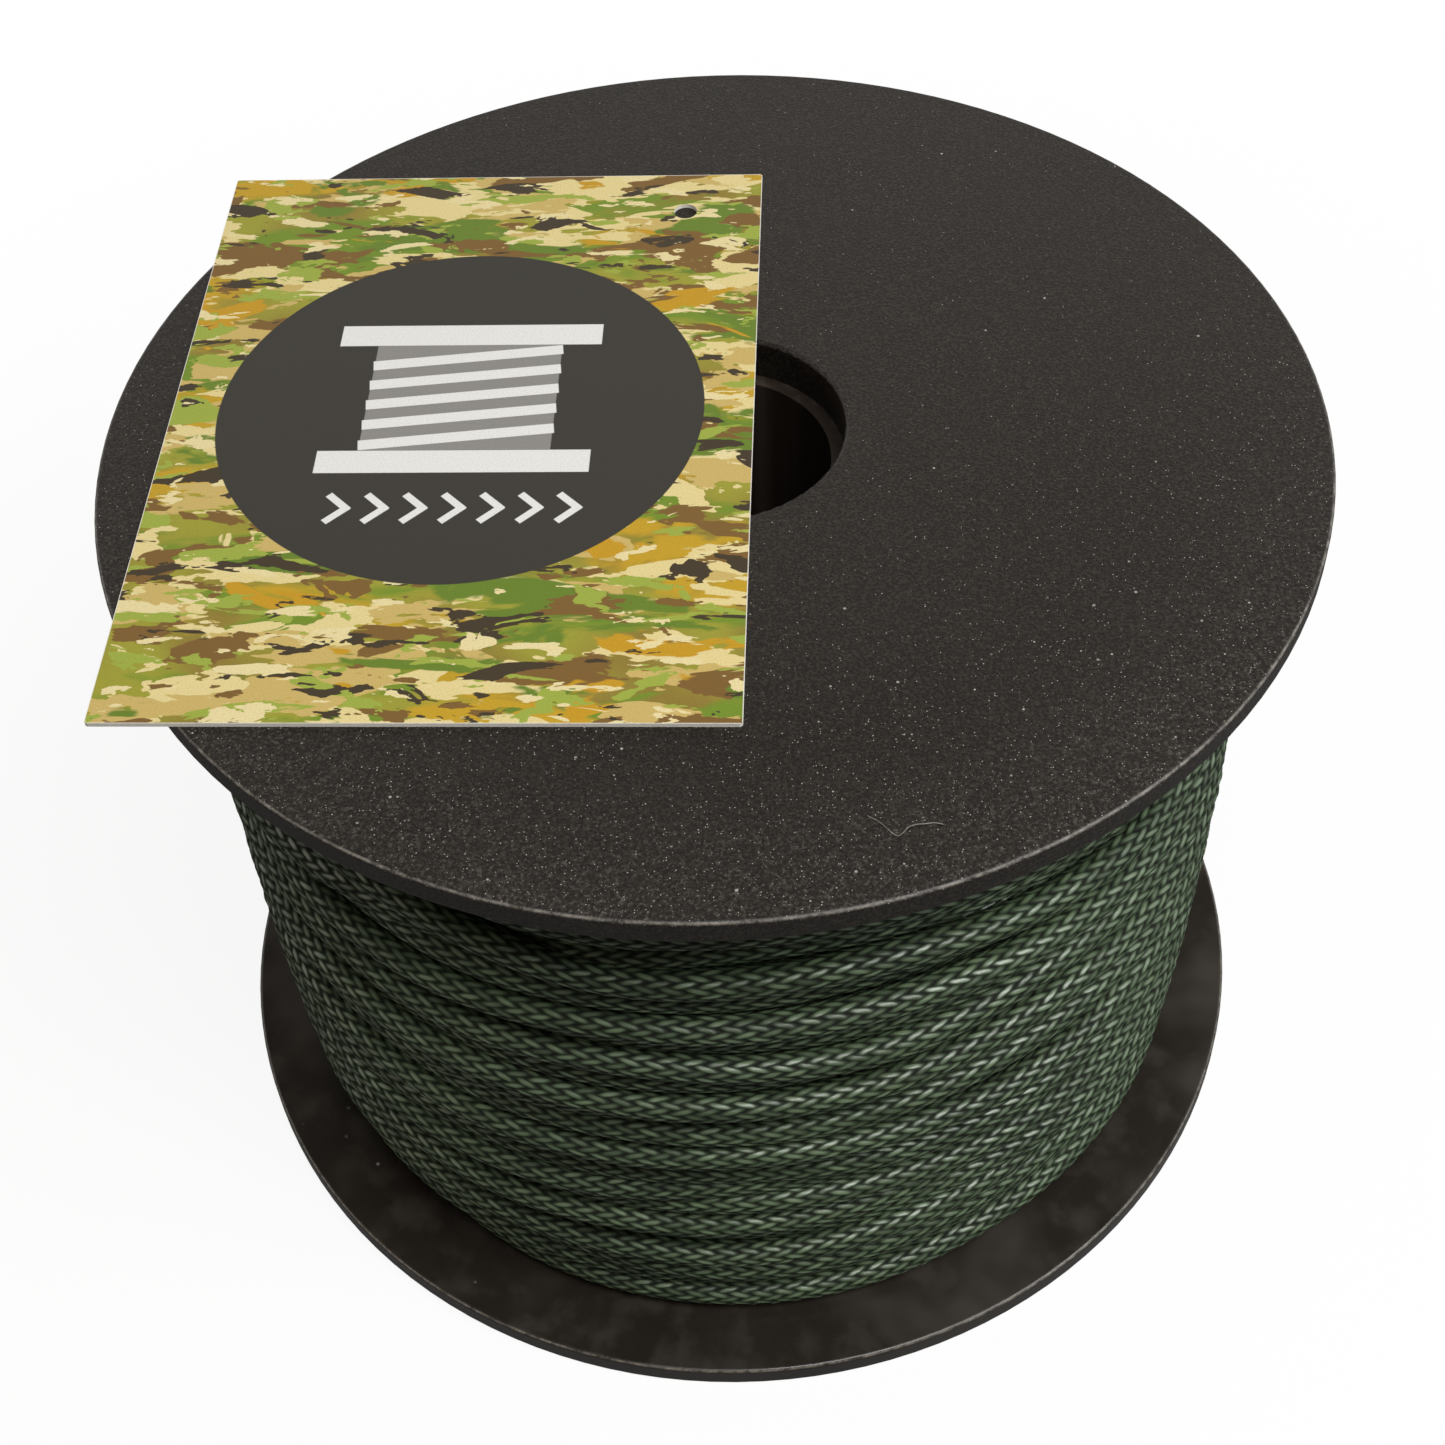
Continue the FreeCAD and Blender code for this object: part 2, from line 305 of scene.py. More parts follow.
def rim_wear_and_highlight(tree, place, face_height):
    """A pale line round a flange's edge, where its rim meets the face at that height: partly wear
    and partly a painted highlight.
    """
    apart = wire(tree, "SeparateXYZ", {0: place}).outputs
    flat = wire(tree, "CombineXYZ", {0: apart[0], 1: apart[1]}).outputs[0]
    out = wire(tree, "VectorMath", {0: flat}, operation="LENGTH").outputs["Value"]
    near_rim = fade(tree, out, flange_radius - rim_line_width, flange_radius - line_full_on_rim)
    up = reckon(tree, "ABSOLUTE", reckon(tree, "SUBTRACT", apart[2], face_height))
    near_face = fade(tree, up, rim_line_width, line_full_on_face)
    patchy = fade(tree, noise_at(tree, place, 700.0, 5.0, 0.75), 0.3, 0.7)
    return reckon(tree, "MULTIPLY", reckon(tree, "MULTIPLY", near_rim, near_face), patchy), out


plastic, tree, output = new_material("black_plastic_half_gloss")
place = wire(tree, "TexCoord").outputs["Object"]
skin = use_effect(tree, grain, {"Place": place, "Grains": 2600.0})
specks = use_effect(tree, dust, {"Place": place, "Cells": 700.0, "Share": 0.02})
wear_and_highlight, out = rim_wear_and_highlight(tree, place, flange_thickness)
apart = wire(tree, "SeparateXYZ", {0: place}).outputs
angle = reckon(tree, "ARCTAN2", apart[1], apart[0])
fan = wire(tree, "CombineXYZ", {0: reckon(tree, "MULTIPLY", angle, 6.0),
                                1: reckon(tree, "MULTIPLY", out, 90.0)}).outputs[0]
# Radial streaks and broad patches make the gloss uneven. In the colour they are a painted
# reflection: paler streaks and patches where the half glossy face would mirror the light.
streaks = fade(tree, noise_at(tree, fan, 2.0, 3.0), 0.44, 0.72)
patches = fade(tree, noise_at(tree, place, 42.0, 3.0, 0.6), 0.46, 0.66)
streaks = reckon(tree, "MAXIMUM", reckon(tree, "MULTIPLY", streaks, 0.7), patches)
black = blend_colours(tree, skin["Cloud"], srgb(28, 24, 20), srgb(38, 33, 28))
painted_reflection = blend_colours(tree, reckon(tree, "MULTIPLY", streaks, 0.4), black, srgb(72, 66, 58))
dusty = blend_colours(tree, reckon(tree, "MULTIPLY", specks["Speck"], 0.5), painted_reflection,
                      srgb(170, 165, 160))
# The pale line round the rim is partly wear and partly a painted highlight on the rounded edge.
rubbed_and_highlit = blend_colours(tree, reckon(tree, "MULTIPLY", wear_and_highlight, 0.75), dusty, srgb(148, 140, 128))
sheen_level = reckon(tree, "MULTIPLY_ADD", streaks, 0.14, 0.2)
sheen_level = reckon(tree, "MULTIPLY_ADD", skin["Cloud"], 0.12, sheen_level)
set_surface(tree, output, {"Base Color": rubbed_and_highlit, "Roughness": sheen_level,
                           "Specular IOR Level": 0.5,
                           "Normal": relief_of(tree, skin["Height"], 0.25, 0.03 * mm)})
paint_node("lower_flange", plastic)


# Barrel: a plain black tube pushed over both flanges' spigots and glued there. It carries the
# cord and hides under it; a hole through its wall takes the cord's first end.
core_plastic, tree, output = new_material("barrel_plastic")
place = wire(tree, "TexCoord").outputs["Object"]
skin = use_effect(tree, grain, {"Place": place, "Grains": 1500.0})
drawn = wire(tree, "Mapping", {"Vector": place, "Scale": (1, 1, 0.04)}).outputs[0]
lines = fade(tree, noise_at(tree, drawn, 900.0, 2.0), 0.4, 0.7)
black = blend_colours(tree, skin["Cloud"], srgb(28, 25, 24), srgb(44, 40, 38))
lined = blend_colours(tree, reckon(tree, "MULTIPLY", lines, 0.4), black, srgb(66, 60, 57))
gloss = reckon(tree, "MULTIPLY_ADD", lines, 0.2, 0.38)
set_surface(tree, output, {"Base Color": lined, "Roughness": gloss,
                           "Normal": relief_of(tree, skin["Height"], 0.3, 0.03 * mm)})
paint_node("barrel", core_plastic)


# Arbor tube: an extruded black tube that runs through the reel on its axis for a spindle. Its
# ends sit in the flanges' sockets, 5 mm below their faces, and its bore has faint die lines.
tube_plastic, tree, output = new_material("arbor_tube_plastic")
place = wire(tree, "TexCoord").outputs["Object"]
drawn = wire(tree, "Mapping", {"Vector": place, "Scale": (1, 1, 0.02)}).outputs[0]
lines = fade(tree, noise_at(tree, drawn, 420.0, 3.0), 0.42, 0.7)
skin = use_effect(tree, grain, {"Place": place, "Grains": 1800.0})
black = blend_colours(tree, skin["Cloud"], srgb(34, 27, 22), srgb(50, 41, 34))
lined = blend_colours(tree, reckon(tree, "MULTIPLY", lines, 0.5), black, srgb(72, 62, 54))
gloss = reckon(tree, "MULTIPLY_ADD", lines, 0.15, 0.42)
set_surface(tree, output, {"Base Color": lined, "Roughness": gloss,
                           "Normal": relief_of(tree, lines, 0.3, 0.05 * mm)})
paint_node("arbor_tube", tube_plastic)


# Upper flange: the same moulding turned over, so its finely grained outer face is on top. Dust has
# settled on it, most towards the front rim, and handling has left wear on its edge. Its top face
# also carries painted light: the grain's tops are painted lighter as a painted highlight, the face
# is painted darker towards the front rim as painted shade, and the pale line on its edge is partly
# a painted highlight.
face_height = 93.2 * mm
top_plastic, tree, output = new_material("black_plastic_grained")
place = wire(tree, "TexCoord").outputs["Object"]
skin = use_effect(tree, grain, {"Place": place, "Grains": 3200.0})
apart = wire(tree, "SeparateXYZ", {0: place}).outputs
wear_and_highlight, out = rim_wear_and_highlight(tree, place, face_height)
to_front = fade(tree, apart[1], 45 * mm, -65 * mm)
to_rim = fade(tree, out, 10 * mm, 66 * mm)
by_rim = fade(tree, out, 42 * mm, 66 * mm)
amount = reckon(tree, "MULTIPLY_ADD", reckon(tree, "MULTIPLY", to_front, to_rim), 0.7, 0.08)
fine_specks = use_effect(tree, dust, {"Place": place, "Cells": 3400.0, "Share": amount})
few = reckon(tree, "MULTIPLY", amount, 0.13)
large_specks = use_effect(tree, dust, {"Place": place, "Cells": 1400.0, "Share": few})
upward = fade(tree, apart[2], face_height - 0.6 * mm, face_height - 0.2 * mm)
front_dust_and_shade = reckon(tree, "MULTIPLY", reckon(tree, "MULTIPLY", to_front, to_rim), upward)
black = blend_colours(tree, skin["Cloud"], srgb(18, 15, 12), srgb(26, 22, 18))
# The grain's tops are painted lighter, a painted highlight, and more so under the dust near the
# front rim.
grain_highlight = fade(tree, skin["Height"], 0.62, 1.12)
grain_highlight = reckon(tree, "MULTIPLY", grain_highlight, reckon(tree, "MULTIPLY_ADD", front_dust_and_shade, 0.1, 0.6))
grained = blend_colours(tree, grain_highlight, black, srgb(60, 53, 46))
# Towards the front rim the top face is painted darker: a painted shade under the dust there.
painted_front_shade = blend_colours(tree, reckon(tree, "MULTIPLY", front_dust_and_shade, 0.35), grained, srgb(12, 10, 8))
powder = reckon(tree, "MULTIPLY", reckon(tree, "MULTIPLY", front_dust_and_shade, by_rim),
                fade(tree, noise_at(tree, place, 2400.0, 3.0, 0.8), 0.5, 0.72))
filmed = blend_colours(tree, reckon(tree, "MULTIPLY", powder, 0.4), painted_front_shade, srgb(128, 120, 112))
specks = reckon(tree, "MAXIMUM", reckon(tree, "MULTIPLY", fine_specks["Speck"], 0.7),
                large_specks["Speck"])
specks = reckon(tree, "MULTIPLY", specks, upward)
dusty = blend_colours(tree, specks, filmed, srgb(200, 196, 188))
# The pale line round the rim is partly wear and partly a painted highlight on the rounded edge.
rubbed_and_highlit = blend_colours(tree, reckon(tree, "MULTIPLY", wear_and_highlight, 0.8), dusty, srgb(156, 149, 140))
matt = reckon(tree, "MULTIPLY_ADD", skin["Cloud"], 0.14, 0.4)
set_surface(tree, output, {"Base Color": rubbed_and_highlit, "Roughness": matt,
                           "Specular IOR Level": 0.36,
                           "Normal": relief_of(tree, skin["Height"], 0.55, 0.06 * mm)})
paint_node("upper_flange", top_plastic)


# The cord's first end goes in through the barrel's wall and is stopped by an overhand knot with
# a short tail. The cord is a round braid of sixteen glossy dark green strands, eight each way.
cord_radius = 1.9 * mm
plait_length = 2.55 * mm
plait_columns = 8
strand_relief = 0.34 * mm
strand_half_width = 0.5
sway_share = 0.26
flattened = 0.86
# Directions of a ring's points, in degrees from outward: close together where the cord shows.
all_round = [11.25 * k for k in range(32)]
mostly_outward = [-101.25 + 11.25 * k for k in range(19)] + [135, 180, 225]
coarsely_outward = [-90, -60, -30, 0, 30, 60, 90, 180]


def read_route(points, steps):
    """Points along the smooth curve that a route's points pull, as many as steps on each span."""
    curve = bpy.data.curves.new("route", "CURVE")
    curve.dimensions = "3D"
    curve.resolution_u = steps
    spline = curve.splines.new("NURBS")
    spline.points.add(len(points) - 1)
    for at, point in zip(spline.points, points):
        at.co = (*point, 1)
    spline.order_u = 3
    spline.use_endpoint_u = True
    holder = bpy.data.objects.new("route", curve)
    mesh = bpy.data.meshes.new_from_object(holder)
    line = np.zeros(len(mesh.vertices) * 3)
    mesh.vertices.foreach_get("co", line)
    bpy.data.objects.remove(holder)
    bpy.data.curves.remove(curve)
    bpy.data.meshes.remove(mesh)
    return line.reshape(-1, 3)


def measure(line):
    """The length from a line's start to each of its points."""
    return np.concatenate([[0], np.cumsum(np.linalg.norm(np.diff(line, axis=0), axis=1))])


def plait_height(columns, plaits):
    """How high the braid stands, up to 1. Eight strands wind each way, and each of them passes
    over one strand of the other set and under the next."""
    sway = sway_share * np.cos(2 * np.pi * columns)
    heights = []
    for own, over in ((plaits + columns, sway), (plaits - columns, -sway)):
        back = 1 - ((own - np.round(own)) / strand_half_width) ** 2
        heights.append(over + (1 - sway_share) * np.clip(back, 0, 1))
    return np.maximum(*heights)


def braided_cord(name, line, outward, around, steps, first=0, last=None):
    """A closed braided tube along part of a line, from plait first to plait last. around gives
    the directions of its points, in degrees from outward, and steps its rings in each plait."""
    along = measure(line)
    last = int(along[-1] / plait_length) if last is None else last
    rings = np.arange(first * steps, last * steps + 1)
    stops = rings * plait_length / steps
    centre = np.stack([np.interp(stops, along, line[:, k]) for k in range(3)], 1)
    ahead = np.gradient(centre, axis=0)
    ahead /= np.linalg.norm(ahead, axis=1)[:, None]
    away = outward(centre)
    away -= (away * ahead).sum(1)[:, None] * ahead
    away /= np.linalg.norm(away, axis=1)[:, None]
    aside = np.cross(ahead, away)

    shape = bmesh.new()
    shape.loops.layers.uv.new("plaits")
    bmesh.ops.create_grid(shape, x_segments=len(rings) - 1, y_segments=len(around), size=0.5,
                          calc_uvs=True)
    mesh = mesh_of(name, shape)
    flat = np.zeros(len(mesh.vertices) * 3)
    mesh.vertices.foreach_get("co", flat)
    flat = flat.reshape(-1, 3)
    ring = np.rint((flat[:, 0] + 0.5) * (len(rings) - 1)).astype(int)
    closed = np.radians([*around, around[0] + 360])
    angle = closed[np.rint((flat[:, 1] + 0.5) * len(around)).astype(int)]
    plaits = rings[ring] / steps
    # The cord turns a little about its own line, to and fro over some hundreds of plaits.
    turned = 0.9 * np.sin(plaits * 0.031) + 0.6 * np.sin(plaits * 0.0127 + 1.0)
    columns = plait_columns * (2 + (angle + turned) / (2 * np.pi))
    radius = cord_radius + strand_relief * (plait_height(columns, plaits) - 1)
    where = (centre[ring] + (radius * np.cos(angle))[:, None] * away[ring]
             + (flattened * radius * np.sin(angle))[:, None] * aside[ring])
    mesh.vertices.foreach_set("co", where.ravel())
    loops = np.zeros(len(mesh.loops), int)
    mesh.loops.foreach_get("vertex_index", loops)
    uv = np.stack([columns[loops], plaits[loops]], 1)
    mesh.uv_layers["plaits"].uv.foreach_set("vector", uv.astype(np.float32).ravel())

    shape = bmesh.new()
    shape.from_mesh(mesh)
    bmesh.ops.remove_doubles(shape, verts=shape.verts, dist=1e-6)
    rim = [edge for edge in shape.edges if edge.is_boundary]
    bmesh.ops.holes_fill(shape, edges=rim, sides=len(around))
    bmesh.ops.recalc_face_normals(shape, faces=shape.faces)
    shape.to_mesh(mesh)
    shape.free()
    mesh.shade_smooth()
    return new_object(name, mesh)


def braid():
    """The same strands in a finish: their height, a tint for each place where one comes up, and
    the fibres along them."""
    group, takes, gives = new_effect(
        "braid", {"Map": "Vector"}, {"Height": "Float", "Strand": "Float", "Fibre": "Float"})
    apart = wire(group, "SeparateXYZ", {0: takes["Map"]}).outputs
    falling = reckon(group, "ADD", apart[1], apart[0])
    rising = reckon(group, "SUBTRACT", apart[1], apart[0])
    wave = reckon(group, "COSINE", reckon(group, "MULTIPLY", apart[0], 2 * math.pi))
    backs = []
    for own, other, over in ((falling, rising, 1.0), (rising, falling, -1.0)):
        strand = reckon(group, "ROUND", own)
        sway = reckon(group, "MULTIPLY", wave, over * sway_share)
        aside = reckon(group, "SUBTRACT", own, strand)
        reach = reckon(group, "DIVIDE", aside, strand_half_width)
        round_back = reckon(group, "SUBTRACT", 1.0, reckon(group, "MULTIPLY", reach, reach))
        round_back = reckon(group, "MAXIMUM", round_back, 0.0)
        height = reckon(group, "MULTIPLY_ADD", round_back, 1 - sway_share, sway)
        backs.append((height, wire(group, "CombineXYZ", {
            0: reckon(group, "MULTIPLY", aside, 11.0), 1: reckon(group, "MULTIPLY", other, 0.7),
            2: reckon(group, "MULTIPLY_ADD", strand, 7.0, over)}).outputs[0]))
    group.links.new(reckon(group, "MAXIMUM", backs[0][0], backs[1][0]), gives["Height"])
    on_top = reckon(group, "GREATER_THAN", backs[0][0], backs[1][0])
    fibre_map = wire(group, "Mix", {0: on_top, 4: backs[1][1], 5: backs[0][1]},
                     data_type="VECTOR").outputs[1]
    strand = wire(group, "SeparateXYZ", {0: fibre_map}).outputs[2]
    stitch = reckon(group, "ROUND", reckon(group, "MULTIPLY", apart[0], 2.0))
    tint = wire(group, "TexWhiteNoise", {"W": reckon(group, "MULTIPLY_ADD", stitch, 3.7, strand)},
                noise_dimensions="1D")
    group.links.new(tint.outputs["Value"], gives["Strand"])
    group.links.new(noise_at(group, fibre_map, 1.0, 3.0, 0.7), gives["Fibre"])
    return group


def cord_finish(name, greens_and_highlight, deep):
    """Dark green braid: glossy fibres, each strand a little different, with a painted highlight on
    the strands' crests and painted shade between them.
    """
    material, tree, output = new_material(name)
    stitches = use_effect(tree, plaiting, {"Map": wire(tree, "UVMap", uv_map="plaits").outputs[0]})
    place = wire(tree, "TexCoord").outputs["Object"]
    patch = fade(tree, noise_at(tree, place, 38.0, 3.0), 0.35, 0.7)
    strand = reckon(tree, "MULTIPLY_ADD", stitches["Strand"], 0.5,
                    reckon(tree, "MULTIPLY", patch, 0.5))
    green = blend_colours(tree, strand, greens_and_highlight[0], greens_and_highlight[1])
    crest = fade(tree, stitches["Height"], 0.62, 1.0)
    # On the strands' crests the colour turns to the pale green: a painted highlight, stronger on
    # some strands than on others.
    wear_and_highlight = reckon(tree, "MULTIPLY", crest, reckon(tree, "MULTIPLY_ADD", stitches["Strand"], 0.7,
                                                  reckon(tree, "MULTIPLY", stitches["Fibre"], 0.5)))
    fibres = blend_colours(tree, wear_and_highlight, green, greens_and_highlight[2])
    # Low between the strands the colour fades to near black: painted shade.
    shown = blend_colours(tree, fade(tree, stitches["Height"], 0.25, 0.78), deep, fibres)
    gloss = reckon(tree, "MULTIPLY_ADD", crest, -0.25, 0.75)
    height = reckon(tree, "MULTIPLY_ADD", stitches["Fibre"], 0.05, stitches["Height"])
    sheen = reckon(tree, "MULTIPLY_ADD", stitches["Strand"], 0.5,
                   reckon(tree, "SUBTRACT", stitches["Fibre"], 0.05))
    set_surface(tree, output, {
        "Base Color": shown, "Roughness": gloss, "Specular IOR Level": 0.25,
        "Normal": relief_of(tree, height, 1.0, 0.13 * mm), "Coat Roughness": 0.36,
        "Coat IOR": 1.75, "Coat Weight": reckon(tree, "MULTIPLY", crest, sheen)})
    return material


plaiting = braid()
# Two greens that differ from strand to strand, then the pale green of the painted highlight on the
# crests, and near black for the painted shade between the strands.
cord_green = cord_finish("green_braid", (srgb(29, 39, 25), srgb(54, 69, 45), srgb(104, 122, 92)),
                         srgb(10, 8, 5))

knot_middle = Vector((0, 19.9, 16.1)) * mm
knot_route = [(0, 9.6, 0), (0, 7.2, 0), (0.1, 4.6, 0.1), (0.6, 2.4, 0.4), (1.6, 0.6, 1.2),
              (1.9, -1.2, 2.0), (0.2, -2.2, 2.2), (-1.7, -1.3, 1.4), (-1.9, 0.5, 0),
              (-1.0, 1.9, -1.6), (0.6, 1.7, -2.3), (1.8, 0.2, -1.8), (1.6, -1.5, -0.6),
              (0.2, -1.9, 0.4), (-0.9, -0.9, 1.6), (-0.6, 0.2, 3.4), (0, 0.3, 6.0),
              (0, 0.2, 9.0), (0, 0, 12.4)]
knot_line = read_route([knot_middle + Vector(point) * mm for point in knot_route], 24)


def one_way(at):
    """The same direction for each point of the knot, which no stretch of it runs along."""
    return np.tile([1.0, 0.3, 0.2], (len(at), 1))


knot = braided_cord("cord_knot", knot_line, one_way, all_round, 8)
knot.data.materials.append(cord_green)
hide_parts("cord_inner_end")
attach(knot, "reel")


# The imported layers: some forty metres of the same cord wound tight in layers between the flanges.
# Below the two layers that can be seen they are a plain core with the turns as its ridges.
reel_middle = 46.6 * mm
outer_line_radius = 57.3 * mm
winding_crown = 1.8 * mm
first_turn_height = 5.2 * mm
winding_half = reel_middle - first_turn_height


def full_radius(height):
    """The outer layer's radius to the cord's centre line at a height: a little less at the ends."""
    return outer_line_radius - winding_crown * ((height - reel_middle) / winding_half) ** 2


layer_step = 3.25 * mm
core_ridges = 22
ridge_steps = 6
core_sides = 120
core_bore_radius = 27.2 * mm
core_foot = first_turn_height - cord_radius
core_height = 2 * winding_half + 2 * cord_radius
core_shape = bmesh.new()
outline = []
for step in range(core_ridges * ridge_steps + 1):
    height = core_foot + step * core_height / (core_ridges * ridge_steps)
    ridge = math.sqrt(abs(math.sin(math.pi * step / ridge_steps)))
    outline.append(core_shape.verts.new(
        (full_radius(height) - 2 * layer_step + (ridge - 0.3) * cord_radius, 0, height)))
foot = core_shape.verts.new((core_bore_radius, 0, outline[0].co.z))
head = core_shape.verts.new((core_bore_radius, 0, outline[-1].co.z))
ring_points = [foot, *outline, head, foot]
for here, there in zip(ring_points, ring_points[1:]):
    core_shape.edges.new((here, there))
bmesh.ops.spin(core_shape, geom=core_shape.verts[:] + core_shape.edges[:], cent=(0, 0, 0),
               axis=(0, 0, 1), angle=2 * math.pi, steps=core_sides, use_merge=True)
bmesh.ops.remove_doubles(core_shape, verts=core_shape.verts, dist=1e-6)
bmesh.ops.recalc_face_normals(core_shape, faces=core_shape.faces)
core = new_object("cord_core", mesh_of("cord_core", core_shape))
core.data.shade_smooth()

core_green, tree, output = new_material("green_braid_deep")
place = wire(tree, "TexCoord").outputs["Object"]
weave = wire(tree, "TexVoronoi", {"Vector": place, "Scale": 620.0})
# The colour is darker between the lumps: painted shade in the creases of the strands.
lumps = fade(tree, weave.outputs["Distance"], 0.55, 0.1)
tone = blend_colours(tree, lumps, srgb(10, 11, 8), srgb(26, 38, 28))
set_surface(tree, output, {"Base Color": tone,
                           "Roughness": reckon(tree, "MULTIPLY_ADD", lumps, -0.2, 0.7),
                           "Normal": relief_of(tree, lumps, 0.8, 0.3 * mm)})
core.data.materials.append(core_green)
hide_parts("cord_inner_layers")
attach(core, "reel")


# The layer below the outer one: a full layer of turns that shows, in shadow, where the turns
# over it stand apart. It climbs the other way, as each layer does.
control_points = 24
curve_draws_in = (6 + 2 * math.cos(2 * math.pi / control_points)) / 8


def from_axis(at):
    """Straight away from the reel's axis, for each point."""
    return at * [1, 1, 0]


under_turns = 21
under_start = math.radians(80)
under_inset = 0.6 * mm
under_wander = 0.45 * mm
chance = np.random.default_rng(7)
lift = chance.normal(0, under_wander, under_turns + 3)
under_route = []
for number in range(under_turns * control_points + 1):
    turn = number / control_points
    angle = under_start - 2 * math.pi * turn
    height = first_turn_height + under_inset
    height += 2 * (winding_half - under_inset) * turn / under_turns
    height += np.interp(turn, range(under_turns + 3), lift) * math.sin(
        math.pi * min(1, turn, under_turns - turn))
    radius = (full_radius(height) - layer_step) / curve_draws_in
    under_route.append((radius * math.cos(angle), radius * math.sin(angle), height))
under_layer = braided_cord("cord_under_layer", read_route(under_route, 20), from_axis,
                           coarsely_outward, 4)
under_layer.data.materials.append(cord_green)
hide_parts("cord_inner_layers")
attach(under_layer, "reel")


# The outer layer: the same cord led round by hand, so that its turns wander, crowd together, lie
# over one another and leave gaps. Each row is one turn's height at nine places from left to right.
turn_heights = [
    (5.2, 5.2, 5.2, 5.2, 5.2, 5.8, 7.1, 6.2, 5.9),
    (8.5, 9.2, 9.5, 8.8, 8.6, 9.8, 11.4, 10.4, 9.8),
    (11.8, 12.7, 12.7, 12.1, 12.3, 13.7, 14.7, 14.0, 13.4),
    (14.0, 15.3, 16.3, 16.4, 16.2, 17.9, 18.2, 17.6, 17.0),
    (17.6, 18.9, 19.9, 19.9, 19.7, 21.0, 22.1, 21.2, 20.2),
    (19.9, 22.1, 22.9, 24.0, 24.1, 24.9, 25.7, 24.8, 23.8),
    (22.8, 26.1, 26.4, 27.0, 29.0, 29.2, 29.0, 27.7, 26.7),
    (26.7, 29.6, 29.6, 30.4, 31.9, 31.2, 31.2, 32.2, 31.2),
    (31.2, 33.2, 33.2, 33.0, 34.5, 35.0, 34.8, 35.5, 34.5),
    (35.8, 36.8, 36.4, 37.1, 37.8, 37.8, 36.4, 37.8, 37.8),
    (38.4, 39.0, 39.0, 39.7, 40.4, 40.4, 39.0, 39.7, 40.4),
    (41.0, 42.3, 42.6, 43.6, 44.2, 45.2, 47.0, 46.9, 45.5),
    (43.6, 46.1, 46.2, 46.5, 47.2, 48.1, 49.5, 49.1, 48.1),
    (48.1, 49.8, 50.0, 49.8, 50.4, 50.1, 52.0, 52.7, 51.4),
    (50.8, 52.0, 52.4, 53.7, 53.7, 54.0, 55.3, 55.6, 54.6),
    (59.2, 57.9, 56.9, 57.9, 57.2, 56.4, 58.2, 58.6, 57.2),
    (61.1, 60.8, 60.2, 60.2, 60.8, 60.2, 60.2, 60.5, 60.2),
    (63.1, 63.4, 63.1, 64.1, 64.1, 65.0, 64.4, 63.1, 62.4),
    (66.4, 67.7, 67.7, 67.7, 67.3, 68.0, 67.7, 66.4, 65.7),
    (67.0, 69.6, 71.0, 72.8, 75.1, 75.1, 74.8, 72.8, 71.6),
    (76.8, 75.1, 73.8, 71.2, 71.6, 72.2, 70.2, 69.0, 68.3),
    (78.7, 78.0, 79.0, 79.0, 79.7, 79.3, 78.0, 76.8, 76.1),
    (82.0, 82.6, 83.2, 83.6, 83.9, 83.9, 82.6, 82.0, 81.3),
    (85.9, 86.2, 86.8, 87.2, 87.5, 87.8, 87.2, 86.5, 86.5)]
# Which turn lies on top where two crowd together: each turn's standing at the left and right.
turn_standing = [(1, 1), (0.6, 0.6), (0.3, 0.8), (1, 0.6), (0.2, 1), (0.8, 0.8), (0.6, 0.9),
                 (1, 0.5), (0.5, 0.9), (0.1, 0.1), (1, 1), (0.6, 1), (0.5, 0.2), (0.8, 1),
                 (0.3, 0.3), (1, 1), (0.2, 0.6), (0.9, 0.9), (0.3, 0.3), (0.6, 0.6),
                 (1.2, 1.2), (0.8, 0.8), (0.5, 0.5), (0.8, 0.8)]
left_end = -60
front_steps = 9
# Two turns nearer than pressed_width press on each other, and the lower one sinks, but no further
# than deepest. Both ends of the cord are tucked in below their neighbours.
pressed_width = 3.75 * mm
deepest = 2.3 * mm
tuck_depth = 3.4 * mm
tuck_points = 4
# How unevenly the cord was led: round the back, at each point along it, and in its depth.
back_wander = (0.5, 0.35)
point_wander = 0.16
depth_wander = 0.12 * mm
smoothing = (0.25, 0.5, 0.25)

chance = np.random.default_rng(21)
turns = len(turn_heights)
heights = np.zeros((turns, control_points))
standing = np.zeros((turns, control_points))
for turn, row in enumerate(turn_heights):
    following = turn_heights[min(turn + 1, turns - 1)][0] if turn < turns - 1 else row[-1] + 0.3
    heights[turn, :front_steps] = row
    back = (np.arange(front_steps, control_points) - front_steps + 1) / (
        control_points - front_steps + 1)
    smooth = back * back * (3 - 2 * back)
    wander = chance.normal(0, back_wander[0]) * np.sin(np.pi * back)
    wander += chance.normal(0, back_wander[1]) * np.sin(2 * np.pi * back)
    heights[turn, front_steps:] = row[-1] + (following - row[-1]) * smooth + wander
    left, right = turn_standing[turn]
    next_left = turn_standing[min(turn + 1, turns - 1)][0]
    standing[turn, :front_steps] = np.linspace(left, right, front_steps)
    standing[turn, front_steps:] = right + (next_left - right) * smooth
heights += chance.normal(0, point_wander, heights.shape)
heights = np.clip(heights * mm, first_turn_height, 2 * reel_middle - first_turn_height)
sunk = np.zeros((turns, control_points))
for place in range(control_points):
    laid = []
    for turn in np.argsort(-standing[:, place]):
        depth = 0.0
        for other in laid:
            apart = abs(heights[turn, place] - heights[other, place])
            if apart < pressed_width:
                room = math.sqrt(pressed_width ** 2 - apart ** 2)
                if abs(depth - sunk[other, place]) < room:
                    depth = sunk[other, place] + room
        sunk[turn, place] = min(depth, deepest)
        laid.append(turn)
line_heights = heights.ravel()
line_sunk = sunk.ravel()
line_sunk = np.convolve(np.pad(line_sunk, 1, mode="edge"), smoothing, mode="valid")
line_sunk += chance.normal(0, depth_wander, line_sunk.shape)
outer_route = []
